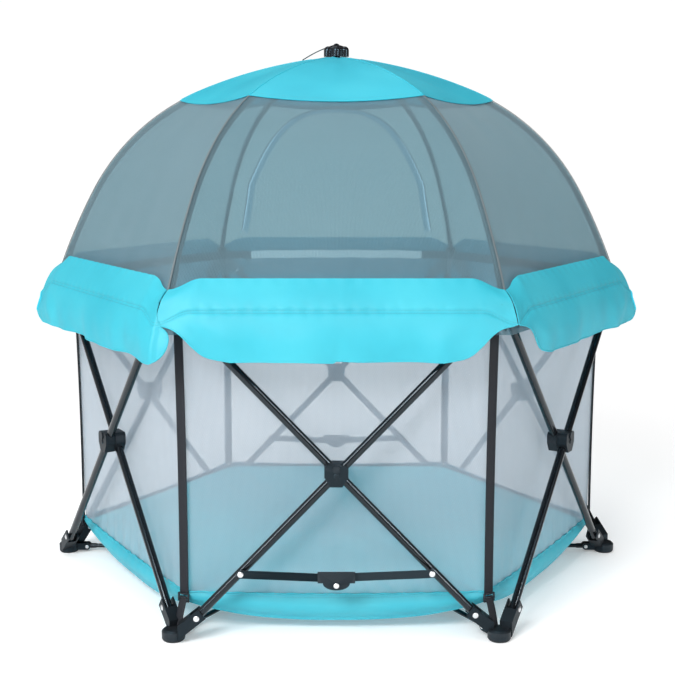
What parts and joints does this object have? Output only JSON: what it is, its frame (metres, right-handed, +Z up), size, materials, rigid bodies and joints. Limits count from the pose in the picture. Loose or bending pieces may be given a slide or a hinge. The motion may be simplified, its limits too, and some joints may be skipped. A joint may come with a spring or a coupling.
{
  "type": "folding travel play yard",
  "caption": "Hexagonal scissor-frame play yard with a domed mesh canopy, scalloped valance, mesh walls and a hung floor; frame, base, lock bars and poles fold together.",
  "frame": {"origin": "on the ground under the centre of the six feet", "axes": "+Z up, front side (with the lock bar seen first) facing -Y, +X to the right seen from the front; two corners lie on the X axis"},
  "size_m": [1.2996, 1.138, 1.1304],
  "materials": {
    "tube_black": "gloss black powder coat",
    "plastic_black": "fine satin",
    "crown_gloss": "gloss",
    "dome_mesh": "fine knitted mesh",
    "wall_mesh": "fine knitted mesh",
    "cyan_cloth": "coated polyester",
    "cyan_mat": "quilted polyester over a folding pad",
    "zip_tape": "woven tape",
    "dark_tape": "woven tape",
    "dark_webbing": "woven webbing"
  },
  "bodies": {
    "foot_1": {"foot_1": "plastic_black", "canopy_mesh": "dome_mesh", "canopy_cap": "cyan_cloth", "valance": "cyan_cloth", "door_zip": "zip_tape", "wall_mesh": "wall_mesh", "top_hem": "dark_tape", "floor_tub": "cyan_cloth", "corner_webbing": "dark_webbing", "foot_webbing": "dark_webbing", "buckles": "plastic_black"},
    "foot_2": {"foot_2": "plastic_black"},
    "foot_3": {"foot_3": "plastic_black"},
    "foot_4": {"foot_4": "plastic_black"},
    "foot_5": {"foot_5": "plastic_black"},
    "foot_6": {"foot_6": "plastic_black"},
    "tube_a1": {"tube_a1": "tube_black"},
    "tube_b1": {"tube_b1": "tube_black"},
    "tube_a2": {"tube_a2": "tube_black"},
    "tube_b2": {"tube_b2": "tube_black"},
    "tube_a3": {"tube_a3": "tube_black"},
    "tube_b3": {"tube_b3": "tube_black"},
    "tube_a4": {"tube_a4": "tube_black"},
    "tube_b4": {"tube_b4": "tube_black"},
    "tube_a5": {"tube_a5": "tube_black"},
    "tube_b5": {"tube_b5": "tube_black"},
    "tube_a6": {"tube_a6": "tube_black"},
    "tube_b6": {"tube_b6": "tube_black"},
    "top_1": {"top_1": "plastic_black"},
    "top_2": {"top_2": "plastic_black"},
    "top_3": {"top_3": "plastic_black"},
    "top_4": {"top_4": "plastic_black"},
    "top_5": {"top_5": "plastic_black"},
    "top_6": {"top_6": "plastic_black"},
    "base_strut_1": {"base_strut_1": "tube_black"},
    "base_strut_2": {"base_strut_2": "tube_black"},
    "base_strut_3": {"base_strut_3": "tube_black"},
    "base_strut_4": {"base_strut_4": "tube_black"},
    "base_strut_5": {"base_strut_5": "tube_black"},
    "base_strut_6": {"base_strut_6": "tube_black"},
    "centre_hub": {"centre_hub": "plastic_black"},
    "lock_bar_fl": {"lock_bar_fl": "tube_black"},
    "lock_bar_fr": {"lock_bar_fr": "tube_black"},
    "lock_bar_bl": {"lock_bar_bl": "tube_black"},
    "lock_bar_br": {"lock_bar_br": "tube_black"},
    "pole_1": {"pole_1": "tube_black"},
    "pole_2": {"pole_2": "tube_black"},
    "pole_3": {"pole_3": "tube_black"},
    "pole_4": {"pole_4": "tube_black"},
    "pole_5": {"pole_5": "tube_black"},
    "pole_6": {"pole_6": "tube_black"},
    "crown": {"crown": "crown_gloss", "pull_cord": "dark_webbing"},
    "mat_1": {"mat_1": "cyan_mat"},
    "mat_2": {"mat_2": "cyan_mat"},
    "mat_3": {"mat_3": "cyan_mat"},
    "mat_4": {"mat_4": "cyan_mat"},
    "mat_5": {"mat_5": "cyan_mat"},
    "mat_6": {"mat_6": "cyan_mat"}
  },
  "joints": [
    {"name": "frame_fold", "type": "hinge", "parent": "foot_1", "child": "tube_a1", "pos_m": [-0.2596, -0.53728, 0.048], "axis": [0, -1, 0], "range_deg": [0, 37.5], "deforming": ["canopy_mesh", "canopy_cap", "valance", "door_zip", "wall_mesh", "top_hem", "floor_tub", "corner_webbing", "foot_webbing", "buckles", "mat_1", "mat_2", "mat_3", "mat_4", "mat_5", "mat_6"]},
    {"name": "cross_1", "type": "hinge", "parent": "tube_a1", "child": "tube_b1", "pos_m": [0, -0.52828, 0.32], "axis": [0, -1, 0], "range_deg": [-75.5, 0]},
    {"name": "foot_2_pivot", "type": "hinge", "parent": "tube_b1", "child": "foot_2", "pos_m": [0.2596, -0.51928, 0.048], "axis": [0, -1, 0], "range_deg": [0, 38]},
    {"name": "top_1_pivot", "type": "hinge", "parent": "tube_b1", "child": "top_1", "pos_m": [-0.2596, -0.51928, 0.592], "axis": [0, -1, 0], "range_deg": [0, 38]},
    {"name": "top_2_pivot", "type": "hinge", "parent": "tube_a1", "child": "top_2", "pos_m": [0.2596, -0.53728, 0.592], "axis": [0, -1, 0], "range_deg": [-38, 0]},
    {"name": "tube_a2_pivot", "type": "hinge", "parent": "foot_2", "child": "tube_a2", "pos_m": [0.33549, -0.49346, 0.048], "axis": [0.866, -0.5, 0], "range_deg": [0, 38]},
    {"name": "cross_2", "type": "hinge", "parent": "tube_a2", "child": "tube_b2", "pos_m": [0.4575, -0.26414, 0.32], "axis": [0.866, -0.5, 0], "range_deg": [-75.5, 0]},
    {"name": "foot_3_pivot", "type": "hinge", "parent": "tube_b2", "child": "foot_3", "pos_m": [0.57951, -0.03482, 0.048], "axis": [0.866, -0.5, 0], "range_deg": [0, 38]},
    {"name": "top_3_pivot", "type": "hinge", "parent": "tube_a2", "child": "top_3", "pos_m": [0.59509, -0.04382, 0.592], "axis": [0.866, -0.5, 0], "range_deg": [-38, 0]},
    {"name": "tube_a3_pivot", "type": "hinge", "parent": "foot_3", "child": "tube_a3", "pos_m": [0.59509, 0.04382, 0.048], "axis": [0.866, 0.5, 0], "range_deg": [0, 38]},
    {"name": "cross_3", "type": "hinge", "parent": "tube_a3", "child": "tube_b3", "pos_m": [0.4575, 0.26414, 0.32], "axis": [0.866, 0.5, 0], "range_deg": [-75.5, 0]},
    {"name": "foot_4_pivot", "type": "hinge", "parent": "tube_b3", "child": "foot_4", "pos_m": [0.31991, 0.48446, 0.048], "axis": [0.866, 0.5, 0], "range_deg": [0, 38]},
    {"name": "top_4_pivot", "type": "hinge", "parent": "tube_a3", "child": "top_4", "pos_m": [0.33549, 0.49346, 0.592], "axis": [0.866, 0.5, 0], "range_deg": [-38, 0]},
    {"name": "tube_b6_pivot", "type": "hinge", "parent": "foot_1", "child": "tube_b6", "pos_m": [-0.31991, -0.48446, 0.048], "axis": [-0.866, -0.5, 0], "range_deg": [-38, 0]},
    {"name": "cross_6", "type": "hinge", "parent": "tube_b6", "child": "tube_a6", "pos_m": [-0.4575, -0.26414, 0.32], "axis": [-0.866, -0.5, 0], "range_deg": [0, 75.5]},
    {"name": "foot_6_pivot", "type": "hinge", "parent": "tube_a6", "child": "foot_6", "pos_m": [-0.59509, -0.04382, 0.048], "axis": [-0.866, -0.5, 0], "range_deg": [-38, 0]},
    {"name": "top_6_pivot", "type": "hinge", "parent": "tube_b6", "child": "top_6", "pos_m": [-0.57951, -0.03482, 0.592], "axis": [-0.866, -0.5, 0], "range_deg": [0, 38]},
    {"name": "tube_b5_pivot", "type": "hinge", "parent": "foot_6", "child": "tube_b5", "pos_m": [-0.57951, 0.03482, 0.048], "axis": [-0.866, 0.5, 0], "range_deg": [-38, 0]},
    {"name": "cross_5", "type": "hinge", "parent": "tube_b5", "child": "tube_a5", "pos_m": [-0.4575, 0.26414, 0.32], "axis": [-0.866, 0.5, 0], "range_deg": [0, 75.5]},
    {"name": "foot_5_pivot", "type": "hinge", "parent": "tube_a5", "child": "foot_5", "pos_m": [-0.33549, 0.49346, 0.048], "axis": [-0.866, 0.5, 0], "range_deg": [-38, 0]},
    {"name": "top_5_pivot", "type": "hinge", "parent": "tube_b5", "child": "top_5", "pos_m": [-0.31991, 0.48446, 0.592], "axis": [-0.866, 0.5, 0], "range_deg": [0, 38]},
    {"name": "tube_b4_pivot", "type": "hinge", "parent": "foot_5", "child": "tube_b4", "pos_m": [-0.2596, 0.51928, 0.048], "axis": [0, 1, 0], "range_deg": [-38, 0]},
    {"name": "cross_4", "type": "hinge", "parent": "tube_b4", "child": "tube_a4", "pos_m": [0, 0.52828, 0.32], "axis": [0, 1, 0], "range_deg": [0, 75.5]},
    {"name": "base_strut_1_hinge", "type": "hinge", "parent": "foot_1", "child": "base_strut_1", "pos_m": [-0.284, -0.4919, 0.012], "axis": [0.866, -0.5, 0], "range_deg": [0, 85.63]},
    {"name": "base_strut_2_hinge", "type": "hinge", "parent": "foot_2", "child": "base_strut_2", "pos_m": [0.284, -0.4919, 0.012], "axis": [0.866, 0.5, 0], "range_deg": [0, 85.63]},
    {"name": "base_strut_3_hinge", "type": "hinge", "parent": "foot_3", "child": "base_strut_3", "pos_m": [0.568, 0, 0.012], "axis": [0, 1, 0], "range_deg": [0, 85.63]},
    {"name": "base_strut_4_hinge", "type": "hinge", "parent": "foot_4", "child": "base_strut_4", "pos_m": [0.284, 0.4919, 0.012], "axis": [-0.866, 0.5, 0], "range_deg": [0, 85.63]},
    {"name": "base_strut_5_hinge", "type": "hinge", "parent": "foot_5", "child": "base_strut_5", "pos_m": [-0.284, 0.4919, 0.012], "axis": [-0.866, -0.5, 0], "range_deg": [0, 85.63]},
    {"name": "base_strut_6_hinge", "type": "hinge", "parent": "foot_6", "child": "base_strut_6", "pos_m": [-0.568, 0, 0.012], "axis": [0, -1, 0], "range_deg": [0, 85.63]},
    {"name": "centre_hub_lift", "type": "slide", "parent": "foot_1", "child": "centre_hub", "axis": [-0.3418, -0.5921, 0.7298], "range_m": [0, 0.65287]},
    {"name": "lock_bar_fl_pivot", "type": "hinge", "parent": "tube_a1", "child": "lock_bar_fl", "pos_m": [-0.17633, -0.55028, 0.13524], "axis": [0, -1, 0], "range_deg": [0, 49.82]},
    {"name": "lock_bar_fr_pivot", "type": "hinge", "parent": "tube_b1", "child": "lock_bar_fr", "pos_m": [0.17633, -0.55328, 0.13524], "axis": [0, -1, 0], "range_deg": [-49.82, 0]},
    {"name": "lock_bar_bl_pivot", "type": "hinge", "parent": "tube_a4", "child": "lock_bar_bl", "pos_m": [0.17633, 0.55028, 0.13524], "axis": [0, 1, 0], "range_deg": [0, 49.82]},
    {"name": "lock_bar_br_pivot", "type": "hinge", "parent": "tube_b4", "child": "lock_bar_br", "pos_m": [-0.17633, 0.55328, 0.13524], "axis": [0, 1, 0], "range_deg": [-49.82, 0]},
    {"name": "pole_1_hinge", "type": "hinge", "parent": "top_1", "child": "pole_1", "pos_m": [-0.3, -0.51962, 0.644], "axis": [0.866, -0.5, 0], "range_deg": [0, 42.12]},
    {"name": "pole_2_hinge", "type": "hinge", "parent": "top_2", "child": "pole_2", "pos_m": [0.3, -0.51962, 0.644], "axis": [0.866, 0.5, 0], "range_deg": [0, 42.12]},
    {"name": "pole_3_hinge", "type": "hinge", "parent": "top_3", "child": "pole_3", "pos_m": [0.6, 0, 0.644], "axis": [0, 1, 0], "range_deg": [0, 42.12]},
    {"name": "pole_4_hinge", "type": "hinge", "parent": "top_4", "child": "pole_4", "pos_m": [0.3, 0.51962, 0.644], "axis": [-0.866, 0.5, 0], "range_deg": [0, 42.12]},
    {"name": "pole_5_hinge", "type": "hinge", "parent": "top_5", "child": "pole_5", "pos_m": [-0.3, 0.51962, 0.644], "axis": [-0.866, -0.5, 0], "range_deg": [0, 42.12]},
    {"name": "pole_6_hinge", "type": "hinge", "parent": "top_6", "child": "pole_6", "pos_m": [-0.6, 0, 0.644], "axis": [0, -1, 0], "range_deg": [0, 42.12]},
    {"name": "crown_hinge", "type": "hinge", "parent": "pole_1", "child": "crown", "pos_m": [-0.01704, -0.02952, 1.08854], "axis": [0.866, -0.5, 0], "range_deg": [-42.12, 0]},
    {"name": "mat_1_hinge", "type": "hinge", "parent": "centre_hub", "child": "mat_1", "pos_m": [0, -0.034, 0.073], "axis": [1, 0, 0], "range_deg": [0, 87.34]},
    {"name": "mat_2_hinge", "type": "hinge", "parent": "centre_hub", "child": "mat_2", "pos_m": [0.02944, -0.017, 0.073], "axis": [0.5, 0.866, 0], "range_deg": [0, 87.34]},
    {"name": "mat_3_hinge", "type": "hinge", "parent": "centre_hub", "child": "mat_3", "pos_m": [0.02944, 0.017, 0.073], "axis": [-0.5, 0.866, 0], "range_deg": [0, 87.34]},
    {"name": "mat_4_hinge", "type": "hinge", "parent": "centre_hub", "child": "mat_4", "pos_m": [0, 0.034, 0.073], "axis": [-1, 0, 0], "range_deg": [0, 87.34]},
    {"name": "mat_5_hinge", "type": "hinge", "parent": "centre_hub", "child": "mat_5", "pos_m": [-0.02944, 0.017, 0.073], "axis": [-0.5, -0.866, 0], "range_deg": [0, 87.34]},
    {"name": "mat_6_hinge", "type": "hinge", "parent": "centre_hub", "child": "mat_6", "pos_m": [-0.02944, -0.017, 0.073], "axis": [0.5, -0.866, 0], "range_deg": [0, 87.34]}
  ],
  "couplings": [
    {"joint": "cross_1", "follows": "frame_fold", "ratio": -2},
    {"joint": "foot_2_pivot", "follows": "frame_fold", "ratio": 1},
    {"joint": "top_1_pivot", "follows": "frame_fold", "ratio": 1},
    {"joint": "top_2_pivot", "follows": "frame_fold", "ratio": -1},
    {"joint": "tube_a2_pivot", "follows": "frame_fold", "ratio": 1},
    {"joint": "cross_2", "follows": "frame_fold", "ratio": -2},
    {"joint": "foot_3_pivot", "follows": "frame_fold", "ratio": 1},
    {"joint": "top_3_pivot", "follows": "frame_fold", "ratio": -1},
    {"joint": "tube_a3_pivot", "follows": "frame_fold", "ratio": 1},
    {"joint": "cross_3", "follows": "frame_fold", "ratio": -2},
    {"joint": "foot_4_pivot", "follows": "frame_fold", "ratio": 1},
    {"joint": "top_4_pivot", "follows": "frame_fold", "ratio": -1},
    {"joint": "tube_b6_pivot", "follows": "frame_fold", "ratio": -1},
    {"joint": "cross_6", "follows": "frame_fold", "ratio": 2},
    {"joint": "foot_6_pivot", "follows": "frame_fold", "ratio": -1},
    {"joint": "top_6_pivot", "follows": "frame_fold", "ratio": 1},
    {"joint": "tube_b5_pivot", "follows": "frame_fold", "ratio": -1},
    {"joint": "cross_5", "follows": "frame_fold", "ratio": 2},
    {"joint": "foot_5_pivot", "follows": "frame_fold", "ratio": -1},
    {"joint": "top_5_pivot", "follows": "frame_fold", "ratio": 1},
    {"joint": "tube_b4_pivot", "follows": "frame_fold", "ratio": -1},
    {"joint": "cross_4", "follows": "frame_fold", "ratio": 2},
    {"joint": "base_strut_1_hinge", "follows": "frame_fold", "ratio": 2.2701},
    {"joint": "base_strut_2_hinge", "follows": "frame_fold", "ratio": 2.2701},
    {"joint": "base_strut_3_hinge", "follows": "frame_fold", "ratio": 2.2701},
    {"joint": "base_strut_4_hinge", "follows": "frame_fold", "ratio": 2.2701},
    {"joint": "base_strut_5_hinge", "follows": "frame_fold", "ratio": 2.2701},
    {"joint": "base_strut_6_hinge", "follows": "frame_fold", "ratio": 2.2701},
    {"joint": "centre_hub_lift", "follows": "frame_fold", "m_per_rad": 0.98136},
    {"joint": "lock_bar_fl_pivot", "follows": "frame_fold", "ratio": 1.3152},
    {"joint": "lock_bar_fr_pivot", "follows": "frame_fold", "ratio": -1.3152},
    {"joint": "lock_bar_bl_pivot", "follows": "frame_fold", "ratio": 1.3152},
    {"joint": "lock_bar_br_pivot", "follows": "frame_fold", "ratio": -1.3152},
    {"joint": "pole_1_hinge", "follows": "frame_fold", "ratio": 1.1099},
    {"joint": "pole_2_hinge", "follows": "frame_fold", "ratio": 1.1099},
    {"joint": "pole_3_hinge", "follows": "frame_fold", "ratio": 1.1099},
    {"joint": "pole_4_hinge", "follows": "frame_fold", "ratio": 1.1099},
    {"joint": "pole_5_hinge", "follows": "frame_fold", "ratio": 1.1099},
    {"joint": "pole_6_hinge", "follows": "frame_fold", "ratio": 1.1099},
    {"joint": "crown_hinge", "follows": "frame_fold", "ratio": -1.1099},
    {"joint": "mat_1_hinge", "follows": "frame_fold", "ratio": 2.3158},
    {"joint": "mat_2_hinge", "follows": "frame_fold", "ratio": 2.3158},
    {"joint": "mat_3_hinge", "follows": "frame_fold", "ratio": 2.3158},
    {"joint": "mat_4_hinge", "follows": "frame_fold", "ratio": 2.3158},
    {"joint": "mat_5_hinge", "follows": "frame_fold", "ratio": 2.3158},
    {"joint": "mat_6_hinge", "follows": "frame_fold", "ratio": 2.3158}
  ]
}
